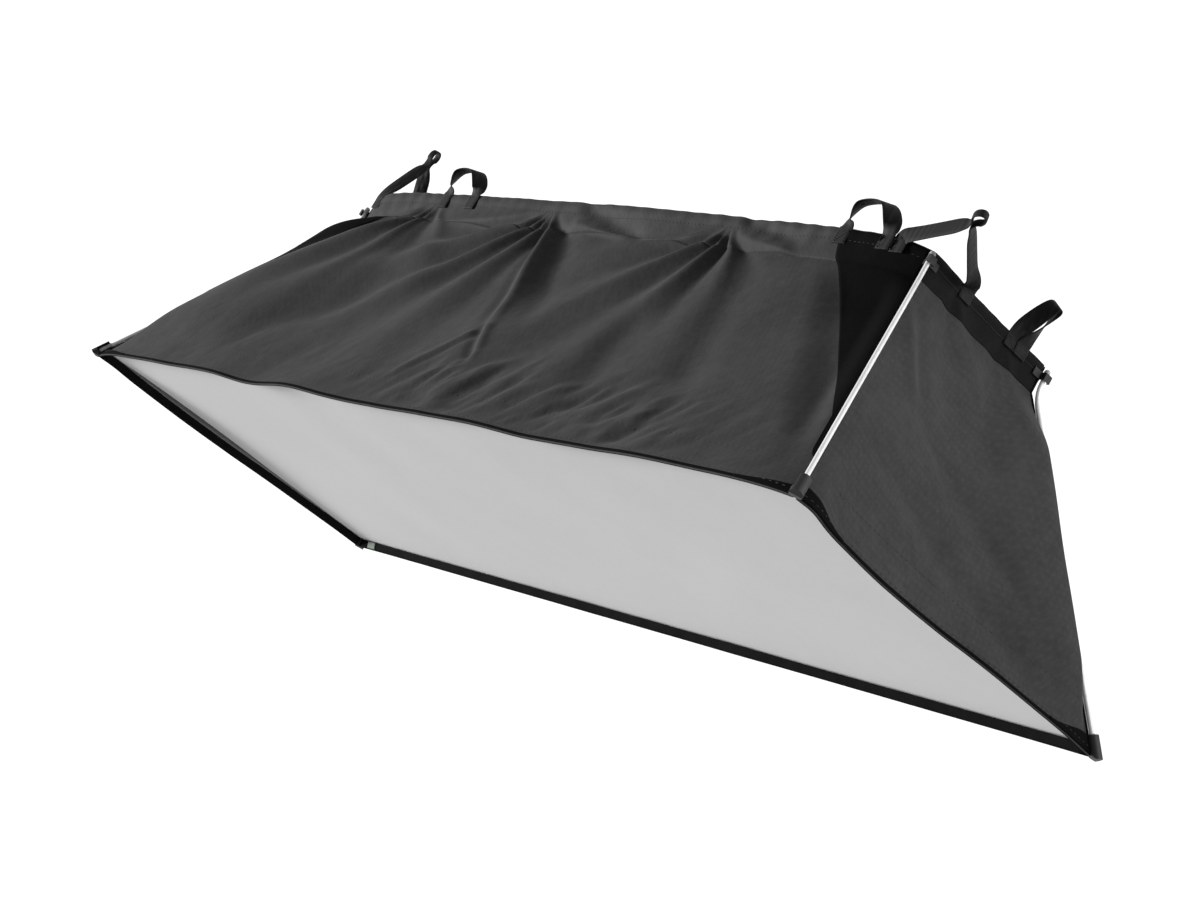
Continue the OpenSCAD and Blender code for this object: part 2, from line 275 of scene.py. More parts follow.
def wall_points(side, u, y, lift):
    """Points on a wall, from -1 to 1 across and y along, lifted off the wall line."""
    long_side = side in LONG_SIDES
    out = wall_half("right" if long_side else "top", y)
    growth = FRONT_H - REAR_H if long_side else FRONT_W - REAR_W
    a, d = u * wall_half(side, y), NECK_Y - y
    relief = RELIEF[side](a, d, u) + gathers(side, a, d) * between_seams(u, 10)
    tilt = math.atan2(growth, SLOPE_Y) * smooth((d + NECK_TURN) / (2 * NECK_TURN))
    back = np.sin(tilt) * (relief + lift)
    if side == "top":
        bow = HEM_BOW_BACK * smooth(-d / COLLAR_L) * (1 - 0.4 * smooth(u))
        back = back + bow * between_seams(u, 12)
    off = SIGN[side] * (out + np.cos(tilt) * (relief + lift))
    columns = (a, y + back, off) if long_side else (off, y + back, a)
    return np.stack(columns, axis=-1)


# ---- meshes -----------------------------------------------------------------------------

def mesh_object(name, points, faces, flat_faces=()):
    """A new mesh whose faces are shaded smooth, apart from its flat_faces."""
    mesh = bpy.data.meshes.new(name)
    mesh.from_pydata([tuple(p) for p in points], [], list(faces) + list(flat_faces))
    mesh.validate()
    shades = [True] * len(faces) + [False] * len(flat_faces)
    if len(shades) == len(mesh.polygons):
        mesh.polygons.foreach_set("use_smooth", shades)
    mesh.update()
    obj = bpy.data.objects.new(name, mesh)
    bpy.context.scene.collection.objects.link(obj)
    return obj


def shell_mesh(name, lower, upper, flip):
    """A closed sheet between two grids of points."""
    rows, cols = lower.shape[:2]
    points = np.concatenate([lower.reshape(-1, 3), upper.reshape(-1, 3)])
    count = rows * cols

    def quad(a, b, c, d):
        return (d, c, b, a) if flip else (a, b, c, d)

    faces = []
    for i in range(rows - 1):
        for j in range(cols - 1):
            k = i * cols + j
            faces.append(quad(k, k + 1, k + cols + 1, k + cols))
            k += count
            faces.append(quad(k, k + cols, k + cols + 1, k + 1))
    ring = list(range(cols))
    ring += [i * cols + cols - 1 for i in range(1, rows)]
    ring += [(rows - 1) * cols + j for j in range(cols - 2, -1, -1)]
    ring += [i * cols for i in range(rows - 2, 0, -1)]
    rim = [quad(a, a + count, b + count, b) for a, b in zip(ring, ring[1:] + ring[:1])]
    return mesh_object(name, points, faces, rim)


def finish_piece(obj, body, material, replaces=()):
    """Gives a piece its material and lets it ride its body."""
    obj.data.materials.append(material)
    if replaces:
        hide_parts(*replaces)
    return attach(obj, body)


def wall_layer(name, side, y0, y1, lifts, cells, trim=0.0, span=None, thicken=None):
    """A sheet that follows a wall from y0 to y1. span limits it to a stretch across, in metres."""
    across, along = cells
    y = np.linspace(y0, y1, along + 1)[:, None] * np.ones((1, across + 1))
    half = wall_half(side, y)
    share = np.linspace(0, 1, across + 1)[None, :]
    if span is None:
        u = (2 * share - 1) * (1 - trim / half)
    else:
        u = np.clip((span[0] + (span[1] - span[0]) * share) / half, -1, 1)
    extra = thicken(y) if thicken else 0
    lower = wall_points(side, u, y, lifts[0])
    upper = wall_points(side, u, y, lifts[1] + extra)
    obj = shell_mesh(name, lower, upper, flip=side in ("top", "left"))
    return obj, (lower + upper) / 2


# ---- materials --------------------------------------------------------------------------

class Nodes:
    """A material and short calls that add nodes to it."""

    def __init__(self, name, colour, roughness, **inputs):
        self.material = bpy.data.materials.new(name)
        self.material.use_nodes = True
        self.tree = self.material.node_tree
        self.shader = self.tree.nodes["Principled BSDF"]
        self.shader.inputs["Base Color"].default_value = (*colour, 1)
        self.shader.inputs["Roughness"].default_value = roughness
        for key, value in inputs.items():
            self.shader.inputs[key.replace("_", " ")].default_value = value
        self.place = self.add("ShaderNodeTexCoord").outputs["Object"]

    def add(self, kind, links=(), **settings):
        """A node with its inputs linked and its other inputs and settings set."""
        node = self.tree.nodes.new(kind)
        for key, value in settings.items():
            if key in node.inputs:
                node.inputs[key].default_value = value
            else:
                setattr(node, key, value)
        for key, source in dict(links).items():
            self.tree.links.new(source, node.inputs[key])
        return node

    def wave(self, direction, threads_per_m, distortion=0.0):
        """Even bands across one direction."""
        node = self.add("ShaderNodeTexWave", {"Vector": self.place}, bands_direction=direction,
                        Scale=threads_per_m / 20, Distortion=distortion)
        return node.outputs["Fac"]

    def noise(self, scale, detail=2.0, roughness=0.5):
        """Cloudy values, about "scale" clouds to the metre."""
        node = self.add("ShaderNodeTexNoise", {"Vector": self.place},
                        Scale=scale, Detail=detail, Roughness=roughness)
        return node.outputs["Fac"]

    def maths(self, operation, a, b):
        """Works on two values, each a number or a node's output."""
        node = self.add("ShaderNodeMath", operation=operation)
        for socket, value in zip(node.inputs, (a, b)):
            if isinstance(value, (int, float)):
                socket.default_value = value
            else:
                self.tree.links.new(value, socket)
        return node.outputs[0]

    def tint(self, factor, dark, light, low=0.3, high=0.7):
        """Colours the surface from dark to light as the factor goes from low to high."""
        ramp = self.add("ShaderNodeValToRGB", {"Fac": factor})
        ends = ramp.color_ramp.elements
        ends[0].position, ends[1].position = low, high
        ends[0].color, ends[1].color = (*dark, 1), (*light, 1)
        self.tree.links.new(ramp.outputs["Color"], self.shader.inputs["Base Color"])

    def rough(self, factor, low, high):
        """Roughens the surface from low to high as the factor goes from 0 to 1."""
        node = self.add("ShaderNodeMapRange", {"Value": factor})
        node.inputs["To Min"].default_value = low
        node.inputs["To Max"].default_value = high
        self.tree.links.new(node.outputs["Result"], self.shader.inputs["Roughness"])

    def bumps(self, *layers):
        """Stacks (height socket, distance in metres, strength) as bump."""
        normal = None
        for height, distance, strength in layers:
            node = self.add("ShaderNodeBump", {"Height": height}, Distance=distance, Strength=strength)
            if normal is not None:
                self.tree.links.new(normal, node.inputs["Normal"])
            normal = node.outputs["Normal"]
        self.tree.links.new(normal, self.shader.inputs["Normal"])


def scaled(colour, k):
    """The colour made k times as bright."""
    return tuple(min(1.0, c * k) for c in colour)


def woven(name, colour, threads_per_m, roughness=0.75, sheen=0.04, contrast=0.24, crinkle=0.3, gloss=0.16):
    """Plain woven cloth: crossed threads, faint colour cloud and fine crinkles."""
    n = Nodes(name, colour, roughness, Sheen_Weight=sheen, Sheen_Roughness=0.4,
              Specular_IOR_Level=gloss)
    cross = n.maths("MULTIPLY", n.wave("X", threads_per_m), n.wave("DIAGONAL", threads_per_m))
    cloud = n.maths("MULTIPLY", n.noise(7, 4, 0.6), 0.5)
    mottle = n.maths("MULTIPLY", n.noise(75, 4, 0.7), 0.42)
    mix = n.maths("ADD", n.maths("MULTIPLY", cross, 0.08), n.maths("ADD", cloud, mottle))
    n.tint(mix, scaled(colour, 1 - contrast), scaled(colour, 1 + contrast), 0.36, 0.60)
    n.rough(n.noise(30, 2), roughness - 0.08, roughness + 0.08)
    n.bumps((n.noise(28, 4, 0.6), 0.003, crinkle), (n.noise(110, 3), 0.0012, crinkle),
            (n.noise(420, 2), 0.0003, crinkle), (cross, 0.0001, 0.3))
    return n.material


def ribbed(name, colour, ribs_per_m):
    """Webbing: ribs across the strap over a fine twill."""
    n = Nodes(name, colour, 0.7, Sheen_Weight=0.03, Sheen_Roughness=0.4, Specular_IOR_Level=0.2)
    ribs = n.maths("MULTIPLY", n.wave("X", ribs_per_m), n.wave("Z", ribs_per_m))
    n.tint(n.maths("ADD", n.maths("MULTIPLY", ribs, 0.5), n.maths("MULTIPLY", n.noise(40, 3), 0.5)),
           scaled(colour, 0.7), scaled(colour, 1.35))
    n.bumps((ribs, 0.0004, 0.8), (n.noise(500, 2), 0.0002, 0.4))
    return n.material


def silvered(name):
    """Metallised lining, slightly crinkled."""
    n = Nodes(name, (0.74, 0.75, 0.76), 0.35, Metallic=0.75)
    n.tint(n.noise(12, 4), (0.66, 0.67, 0.68), (0.80, 0.81, 0.82))
    n.rough(n.noise(25, 3), 0.28, 0.45)
    n.bumps((n.noise(35, 4, 0.6), 0.003, 0.5), (n.noise(220, 2), 0.0005, 0.4))
    return n.material


def moulded(name, colour, roughness, grain):
    """Moulded plastic or rubber with a fine grain and rubbed patches."""
    n = Nodes(name, colour, roughness)
    n.tint(n.noise(90, 3), scaled(colour, 0.85), scaled(colour, 1.2))
    n.rough(n.noise(60, 3), roughness - 0.07, roughness + 0.1)
    n.bumps((n.noise(1400, 2), 0.0001, grain))
    return n.material


def glass_fibre(name):
    """Pale pultruded rod: streaks along its length under a smooth resin skin."""
    n = Nodes(name, (0.80, 0.80, 0.79), 0.22, Coat_Weight=0.3, Coat_Roughness=0.15)
    streak = n.wave("DIAGONAL", 260, 3.0)
    n.tint(n.maths("ADD", n.maths("MULTIPLY", streak, 0.3), n.maths("MULTIPLY", n.noise(25, 4), 0.7)),
           (0.70, 0.70, 0.69), (0.86, 0.86, 0.85))
    n.rough(n.noise(80, 3), 0.16, 0.32)
    n.bumps((n.noise(900, 2), 0.0001, 0.2))
    return n.material


def napped(name, colour):
    """Hook-and-loop tape: a dense short nap."""
    n = Nodes(name, colour, 0.95, Sheen_Weight=0.4, Sheen_Roughness=0.6)
    n.tint(n.noise(500, 3), scaled(colour, 0.6), scaled(colour, 1.5))
    n.bumps((n.noise(900, 2), 0.0008, 0.9), (n.noise(300, 2), 0.0005, 0.5))
    return n.material


def floor_finish(name):
    """Matt white with faint wide clouds."""
    n = Nodes(name, (0.92, 0.92, 0.92), 0.9)
    n.tint(n.noise(0.7, 2), (0.915, 0.915, 0.915), (0.93, 0.93, 0.93))
    return n.material


SHELL_CLOTH = woven("shell_cloth", (0.030, 0.030, 0.031), 1400)
# A darker, duller copy of the shell cloth, used on the side collars as painted shade
SIDE_COLLAR_SHADE_CLOTH = woven("collar_cloth", (0.008, 0.008, 0.0085), 1400, gloss=0.06)
HEM_CLOTH = woven("hem_cloth", (0.004, 0.004, 0.0045), 1400, roughness=0.85, sheen=0.0, gloss=0.04)
BINDING_TAPE = woven("binding_tape", (0.003, 0.003, 0.003), 2200, roughness=0.9, sheen=0.0, gloss=0.04)
DIFFUSER_CLOTH = woven("diffuser_weave", (0.415, 0.415, 0.415), 1800, roughness=0.9, sheen=0.1,
                       contrast=0.02, crinkle=0.08)
TAG_CLOTH = woven("tag_cloth", (0.16, 0.19, 0.16), 2000, contrast=0.1)
WEBBING = ribbed("strap_webbing", (0.008, 0.008, 0.0085), 700)
SILVER = silvered("silver_cloth")
NAP = napped("loop_nap", (0.02, 0.02, 0.02))
HOOKS = napped("hook_nap", (0.03, 0.03, 0.03))
ELASTIC = ribbed("elastic_weave", (0.03, 0.03, 0.03), 1200)
FITTING = moulded("corner_plastic", (0.005, 0.005, 0.005), 0.6, 0.3)
FERRULE = moulded("ferrule_plastic", (0.42, 0.42, 0.43), 0.4, 0.2)
ROD = glass_fibre("glass_fibre")
THREAD = moulded("stitch_thread", (0.010, 0.010, 0.010), 0.7, 0.1)


# ---- the bag ----------------------------------------------------------------------------

def front_roll(y):
    """The front edge is folded over, so it is thicker for its last few millimetres."""
    return 0.9 * MM * smooth((FRONT_Y + 12 * MM - y) / (3 * MM))


def rear_roll(y):
    """The hem tunnel around the elastic."""
    return 1.4 * MM * bump(y, -7 * MM, 5 * MM)


CELLS = {"top": (380, 100), "bottom": (220, 60), "left": (130, 90), "right": (130, 90)}
COLLAR_CELLS = {"top": 380, "bottom": 220, "left": 90, "right": 90}
BINDING_W = 4 * MM
DIFFUSER_T = 0.8 * MM
DIFFUSER_SAG = 2 * MM   # how far its middle lies behind its edges


def sew_layer(name, side, *place, slot, material, replaces, held="stretched", **options):
    """One layer of cloth on a wall, sewn to the bag."""
    layer, middle = wall_layer(f"{name}_{side}", side, *place, **options)
    finish_piece(layer, "bag", material, [f"{replaces}_{side}"])


def build_wall(side):
    """The layers of one wall, from the outer cloth in, and the binding on its front edge."""
    cells = CELLS[side]
    sew_layer("wall", side, NECK_Y, FRONT_Y, OUTER, cells, thicken=front_roll,
              slot="outer_cloth", material=SHELL_CLOTH, replaces="panel")
    sew_layer("silver", side, NECK_Y, HEM_Y, LINING, (cells[0], 64), trim=CORNER_TRIM,
              slot="silver_lining", material=SILVER, replaces="lining")
    # The side collars take the darker copy of the shell cloth: painted shade
    sew_layer("collar_band", side, 0, NECK_Y, OUTER, (COLLAR_CELLS[side], 18), thicken=rear_roll,
              slot="collar_cloth", material=SHELL_CLOTH if side in LONG_SIDES else SIDE_COLLAR_SHADE_CLOTH,
              replaces="collar", held="gathered")
    sew_layer("front_hem", side, HEM_Y, FRONT_Y, HEM, (cells[0] // 2, 12), trim=CORNER_TRIM,
              slot="hem_cloth", material=HEM_CLOTH, replaces="hem")
    sew_layer("loop_side_tape", side, TAPE_BACK_Y, DIFFUSER_Y, LOOP_TAPE, (cells[0] // 2, 6),
              trim=2 * CORNER_TRIM, slot="loop_tape", material=NAP, replaces="loop_tape")
    roll = front_roll(FRONT_Y)
    binding, _ = wall_layer(f"edge_binding_{side}", side, FRONT_Y + BINDING_W, FRONT_Y,
                            (roll + BINDING[0], roll + BINDING[1]), (cells[0] // 2, 4))
    finish_piece(binding, "bag", BINDING_TAPE)


def build_elastic():
    """The elastic inside the rear hem, one band all round."""
    strips = []
    for side in SIDES:
        cells = (160 if side in LONG_SIDES else 40, 3)
        strip, _ = wall_layer(f"elastic_{side}", side, *ELASTIC_Y, ELASTIC_LIFT, cells, trim=4 * MM)
        strips.append(strip)
    band = join(strips, "gathering_elastic")
    finish_piece(band, "bag", ELASTIC, ["collar_elastic"])


def join(objects, name):
    """One mesh made from several that have no material yet."""
    points, smooth_faces, flat_faces = [], [], []
    for obj in objects:
        base = len(points)
        points += [obj.matrix_world @ v.co for v in obj.data.vertices]
        for p in obj.data.polygons:
            face = tuple(base + i for i in p.vertices)
            (smooth_faces if p.use_smooth else flat_faces).append(face)
        bpy.data.objects.remove(obj)
    return mesh_object(name, points, smooth_faces, flat_faces)


def build_diffuser():
    """The diffuser's edges follow the four walls, and its middle is drawn almost flat."""
    rows, cols = 70, 180
    y = np.full((1, 1), DIFFUSER_Y)
    p = np.linspace(-1, 1, cols + 1)[None, :]
    q = np.linspace(-1, 1, rows + 1)[:, None]
    edge = 1 - CORNER_TRIM / FRONT_H
    top, bottom = (wall_points(side, p * edge, y, HOOK_TAPE[1])[..., 2] for side in ("top", "bottom"))
    left, right = (wall_points(side, q * edge, y, HOOK_TAPE[1])[..., 0] for side in ("left", "right"))
    x = left + (right - left) * (p + 1) / 2
    z = bottom + (top - bottom) * (q + 1) / 2
    slack = (1 - p**4) * (1 - q**4)
    ripple = 0.0006 * noise(x * 9 + 2, z * 9) + 0.0010 * np.sin(x * 7 + 1) * np.sin(z * 9 + 2)
    front = np.stack([x, DIFFUSER_Y + slack * (DIFFUSER_SAG + ripple), z], axis=-1)
    back = front + np.array([0, DIFFUSER_T, 0])
    cloth = shell_mesh("diffuser_panel", front, back, flip=False)
    finish_piece(cloth, "diffuser", DIFFUSER_CLOTH, ["diffuser_cloth"])
    for side in SIDES:
        cells = (150 if side in LONG_SIDES else 60, 6)
        tape, middle = wall_layer(f"hook_side_tape_{side}", side, TAPE_BACK_Y, DIFFUSER_Y + MM,
                                  HOOK_TAPE, cells, trim=3 * CORNER_TRIM)
        finish_piece(tape, "diffuser", HOOKS, [f"hook_tape_{side}"])


def tube(name, path, radius, sides=10):
    """A closed tube along a list of points."""
    path = [Vector(p) for p in path]
    points, faces = [], []
    normal = Vector((0.3, 0.2, 1))
    for i, here in enumerate(path):
        tangent = (path[min(i + 1, len(path) - 1)] - path[max(i - 1, 0)]).normalized()
        normal = (normal - tangent * normal.dot(tangent)).normalized()
        side = tangent.cross(normal)
        for k in range(sides):
            turn = 2 * math.pi * k / sides
            points.append(here + radius * (math.cos(turn) * normal + math.sin(turn) * side))
    for i in range(len(path) - 1):
        for k in range(sides):
            a, b = i * sides + k, i * sides + (k + 1) % sides
            faces.append((a, b, b + sides, a + sides))
    last = (len(path) - 1) * sides
    ends = [tuple(range(sides - 1, -1, -1)), tuple(last + k for k in range(sides))]
    return mesh_object(name, points, faces, ends)


WELT_R = 1.9 * MM
WELT_OUT = 1.1 * MM     # how far its middle sits outside the seam


def build_welt(level, side):
    """A welt along a corner seam, under the rod."""
    y = [-2 * MM] + [NECK_Y - SLOPE_Y * t + MM for t in np.linspace(0, 1, 40)]
    path = []
    for here in y:
        wide = wall_half("top", here - MM) + WELT_OUT
        high = wall_half("right", here - MM) + WELT_OUT
        path.append((SIGN[side] * wide, here, SIGN[level] * high))
    welt = tube(f"corner_welt_{level}_{side}", path, WELT_R)
    finish_piece(welt, "bag", HEM_CLOTH)


# ---- webbing ----------------------------------------------------------------------------

WEB_W = 23 * MM
WEB_T = 1.7 * MM
EYE_W = 11 * MM             # narrower, where it is folded to make a corner strap's eye
EYE_RING = 8.4 * MM         # from the middle of a corner strap's eye to its webbing
NECK_BELOW_EYE = 19 * MM    # where the two legs of a corner strap come together
NECK_HALF = 1.8 * MM        # half the distance between them there
HINGE_LIFT = 1.2 * MM       # height of the hinge line over the collar's seam
SIDE_FOOT_DROP = 75 * MM    # from the upper seam down to a corner strap's side foot
TOP_FOOT_SHIFT = 13 * MM    # how far a strap's top foot sits inboard of its hinge
FOOT_Y = (-18 * MM, -8 * MM)    # two points of each sewn-down end
LOOP_LEAN = {"top": 20, "bottom": 20, "left": 34, "right": 34}  # degrees outwards, by hem
STRAP_LEAN = {"left": -10, "right": 75}                         # degrees outwards
REAR = Vector((0, 1, 0))
OUT = {"top": Vector((0, 0, 1)), "bottom": Vector((0, 0, -1)),
       "left": Vector((-1, 0, 0)), "right": Vector((1, 0, 0))}


def spline(points, count):
    """Points along a smooth curve through the given ones."""
    p = np.array(points, float)
    p = np.vstack([2 * p[0] - p[1], p, 2 * p[-1] - p[-2]])
    result = []
    spans = len(p) - 3
    for k in range(count + 1):
        s = min(k / count * spans, spans - 1e-9)
        i, f = int(s), s - int(s)
        a, b, c, d = p[i:i + 4]
        result.append(0.5 * (2 * b + (c - a) * f + (2 * a - 5 * b + 4 * c - d) * f**2
                             + (3 * b - a - 3 * c + d) * f**3))
    return np.array(result)


def ribbon(name, centres, width_dirs, widths=WEB_W, count=90):
    """Flat webbing along a curve. width_dirs say which way its width lies at each given point."""
    path = spline(centres, count)
    across = spline(width_dirs, count)
    wide = spline([[w] for w in np.broadcast_to(widths, len(centres))], count)[:, 0]
    half_t, edge = WEB_T / 2, WEB_T * 0.45
    points, faces = [], []
    for i in range(count + 1):
        tangent = path[min(i + 1, count)] - path[max(i - 1, 0)]
        tangent = tangent / np.linalg.norm(tangent)
        w = across[i] - tangent * np.dot(across[i], tangent)
        w = w / np.linalg.norm(w)
        face = np.cross(tangent, w)
        half_w = wide[i] / 2
        upper = [(half_w, 0.4), (half_w - edge, 1), (half_w * 0.33, 1.12)]
        upper += [(-a, b) for a, b in reversed(upper)]
        outline = [(half_w, -0.4)] + upper + [(a, -b) for a, b in reversed(upper[1:])]
        points += [path[i] + a * w + b * half_t * face for a, b in outline]
    n = len(outline)
    for i in range(count):
        for k in range(n):
            a, b = i * n + k, i * n + (k + 1) % n
            faces.append((a, b, b + n, a + n))
    ends = [tuple(range(n - 1, -1, -1)), tuple(count * n + k for k in range(n))]
    return mesh_object(name, points, faces, ends)


def hem_point(side, a, y, lift=2.9 * MM):
    """A point on the outside of the collar, at a across and y along."""
    half = REAR_W if side in LONG_SIDES else REAR_H
    return Vector(wall_points(side, np.array(a / half), np.array(float(y)), lift))


STITCH_LINES = []


def box_stitch(side, a):
    """Remembers the square of stitching that holds a webbing end to the collar."""
    low, high = a - WEB_W / 2 + 3 * MM, a + WEB_W / 2 - 3 * MM
    front, back = -17 * MM, -4 * MM
    corners = [(low, front), (high, front), (high, back), (low, back), (low, front), (high, back)]
    STITCH_LINES.append([hem_point(side, *corner, lift=4.0 * MM) for corner in corners])


def finish_webbing(webbing, node):
    """Webbing, sewn to the bag at one end: gives it its material, hides the CAD part it replaces and bakes
    its place into its points.
    """
    webbing.data.materials.append(WEBBING)
    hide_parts(node)
    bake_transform(webbing)


def build_hem_loop(name, side, node):
    """A loop of webbing whose two ends lie side by side on the collar."""
    low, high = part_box(node)
    axis = 0 if side in LONG_SIDES else 2
    span, a = high[axis] - low[axis], (high[axis] + low[axis]) / 2
    tilt = math.radians(LOOP_LEAN[side])
    reach = high.y / math.cos(tilt)
    out = OUT[side]
    along = Vector((1, 0, 0)) if side in LONG_SIDES else Vector((0, 0, 1))
    up = REAR * math.cos(tilt) + out * math.sin(tilt)
    face = out * math.cos(tilt) - REAR * math.sin(tilt)
    foot = hem_point(side, a, 0) - out * 2 * MM
    half = span / 2 - 9 * MM

    def leg(end):
        """Points and width directions from one sewn-down end up to the shoulder."""
        points = [hem_point(side, a + end * half, y) for y in (*FOOT_Y, 1 * MM)]
        points.append(foot + along * end * half * 0.99 + up * reach * 0.42)
        return points, [along * -end] * 3 + [along * end * -0.75 + face * 0.65]

    first, first_dirs = leg(-1)
    last, last_dirs = leg(1)
    crown = [foot - along * half * 0.55 + up * reach * 0.92,
             foot + along * half * 0.55 + up * reach * 0.96]
    crown_dirs = [along * 0.25 + face, face - along * 0.2]
    loop = ribbon(f"webbing_loop_{name}", first + crown + last[::-1],
                  first_dirs + crown_dirs + last_dirs[::-1], count=110)
    finish_webbing(loop, node)
    for end in (-1, 1):
        box_stitch(side, a + end * half)


def strap_frame(side):
    """Where a corner strap hinges, and its directions: along the hinge line and away from it."""
    top_root = Vector(JOINTS[f"strap_flop_{side}"]["pos_m"])
    side_root = Vector((SIGN[side] * (REAR_W + HINGE_LIFT), 0, REAR_H - SIDE_FOOT_DROP))
    axis = (side_root - top_root).normalized()
    outward = SIGN[side] * axis.cross(REAR)
    tilt = math.radians(STRAP_LEAN[side])
    return top_root, side_root, axis, REAR * math.cos(tilt) + outward * math.sin(tilt)


def build_corner_strap(side):
    """A V of webbing from the top hem to the side hem, with a pinched eye at its point."""
    top_root, side_root, axis, reach = strap_frame(side)
    face = axis.cross(reach)
    mounts = {mount["name"]: mount for mount in frame["record"]["mounts"]}
    eye = Vector(mounts[f"strap_eye_{side}"]["pos_m"])
    eye_x = (eye - top_root).dot(axis)
    eye_y = (eye - top_root).dot(reach)
    foot_x = top_root.x - SIGN[side] * TOP_FOOT_SHIFT

    def at(x, y):
        return top_root + axis * x + reach * y

    necks = [at(eye_x + end * NECK_HALF, eye_y - NECK_BELOW_EYE) for end in (-1, 1)]
    top_foot = hem_point("top", foot_x, 2 * MM)
    side_foot = side_root + reach * 4 * MM
    upright = Vector((0, 0, 1 if face.z > 0 else -1))
    along = Vector((1 if face.x > 0 else -1, 0, 0))

    # Up the top leg
    shares = (0.12, 0.28, 0.55, 0.80, 0.92, 1)
    centres = [hem_point("top", foot_x, y) for y in (*FOOT_Y, 0)]
    centres += [top_foot.lerp(necks[0], share) for share in shares]
    dirs = [along] * 3 + [along.lerp(face, share) for share in (0.5, 0.85, 1, 1, 1, 1)]
    # Round the eye
    turns = [math.radians(turn) for turn in np.linspace(-62, 242, 9)]
    centres += [at(eye_x - EYE_RING * 0.9 * math.cos(turn), eye_y + EYE_RING * 1.25 * math.sin(turn))
                for turn in turns]
    dirs += [face] * len(turns)
    # Down the side leg
    centres += [side_foot.lerp(necks[1], share) for share in reversed(shares)]
    centres += [hem_point(side, side_root.z, y) for y in (0, *reversed(FOOT_Y))]
    dirs += [upright.lerp(face, share) for share in (1, 0.9, 0.75, 0.7, 0.65, 0.4)] + [upright] * 3

    leg_widths = [WEB_W] * 7 + [WEB_W * 0.85, WEB_W * 0.6]
    widths = leg_widths + [EYE_W] * len(turns) + leg_widths[::-1]
    strap = ribbon(f"webbing_strap_{side}", centres, dirs, widths, count=260)
    finish_webbing(strap, f"corner_strap_{side}")
    box_stitch("top", foot_x)
    box_stitch(side, side_root.z)


def build_webbing():
    """The six hem loops and the two corner straps."""
    for level, side in CORNERS:
        build_hem_loop(f"{level}_{side}", level, f"loop_{level}_{side}")
    for side in ("left", "right"):
        build_hem_loop(f"side_{side}", side, f"loop_side_{side}")
    for side in ("left", "right"):
        build_corner_strap(side)


# ---- stitching, tag and corner patches --------------------------------------------------

def stitch_points(line, step):
    """Middles and directions of the stitches along a polyline."""
    for start, end in zip(line, line[1:]):
        run = np.array(end) - np.array(start)
        length = np.linalg.norm(run)
        count = max(1, int(length / step))
        for k in range(count):
            yield np.array(start) + run * (k + 0.5) / count, run / length


STITCH_T = 0.8 * MM
STITCH_SIDES = 6
# Rings of points along a stitch: (place along it, share of its thickness)
STITCH_RINGS = ((-0.5, 0.35), (-0.3, 1), (0.3, 1), (0.5, 0.35))


def stitches(name, lines, step, long):
    """Short spindle-shaped stitches along each line."""
    points, faces = [], []
    for line in lines:
        for middle, run in stitch_points(line, step):
            side = np.cross(run, [0.13, 0.31, 0.94])
            side = side / np.linalg.norm(side)
            up = np.cross(run, side)
            base = len(points)
            for x, r in STITCH_RINGS:
                for k in range(STITCH_SIDES):
                    turn = 2 * math.pi * k / STITCH_SIDES
                    points.append(middle + run * long * x
                                  + STITCH_T / 2 * r * (math.cos(turn) * side + math.sin(turn) * up))
            last = base + (len(STITCH_RINGS) - 1) * STITCH_SIDES
            for ring in range(base, last, STITCH_SIDES):
                for k in range(STITCH_SIDES):
                    a, b = ring + k, ring + (k + 1) % STITCH_SIDES
                    faces.append((a, b, b + STITCH_SIDES, a + STITCH_SIDES))
            faces.append(tuple(base + k for k in range(STITCH_SIDES - 1, -1, -1)))
            faces.append(tuple(last + k for k in range(STITCH_SIDES)))
    return mesh_object(name, points, faces)


# Rows of stitches round the bag: (place along Y, height off the wall line)
STITCH_ROWS = ((FRONT_Y + 7 * MM, 4.0 * MM), (HEM_Y - 2 * MM, 1.5 * MM), (-14 * MM, 2.0 * MM))


def build_stitching():
    """The box stitches under the webbing, and rows beside the front edge, its hem and the rear hem."""
    boxes = stitches("webbing_stitching", STITCH_LINES, step=3 * MM, long=2.2 * MM)
    finish_piece(boxes, "bag", THREAD, ["webbing_patches"])
    rows = []
    for side in SIDES:
        u = np.linspace(-0.985, 0.985, 160 if side in LONG_SIDES else 60)
        for y, lift in STITCH_ROWS:
            rows.append(list(wall_points(side, u, np.full(u.shape, y), lift)))
    seams = stitches("seam_stitching", rows, step=7 * MM, long=4.4 * MM)
    finish_piece(seams, "bag", THREAD)


def build_tag():
    """The blank care label inside the lower wall."""
    tag, middle = wall_layer("care_tag", "bottom", TAG[1].y, TAG[0].y, TAG_LIFT, (8, 6),
                             span=(TAG[0].x, TAG[1].x))
    finish_piece(tag, "bag", TAG_CLOTH, ["label"])


def lay_binding_and_shade_patch(name, lower, upper, flip):
    """Black cloth on the outside of a wall: the binding at the front corners, and the near-black patches
    of painted shade beside the rods.
    """
    patch = shell_mesh(name, lower, upper, flip)
    finish_piece(patch, "bag", BINDING_TAPE)


SHADE_PATCH_REAR = {"left": NECK_Y + 8 * MM, "right": -1.5 * MM}     # where each side's patch of painted shade starts
SHADE_PATCH_L = 0.31         # how far they run forward of the neck
SHADE_PATCH_W = 0.142        # how wide they are near the rear hem,
SHADE_PATCH_W_BACK = 0.034   # which is this far behind the neck,
SHADE_PATCH_TAPER = 0.47     # and how much narrower for each metre forward of there
FLAP_LENGTH = 90 * MM   # of the binding on each front edge, from the corner
SIDE_FLAP_DEPTH = 15 * MM
LONG_FLAP_DEPTH = 8 * MM
FLAP_HEM = 3 * MM       # its depth where it runs out


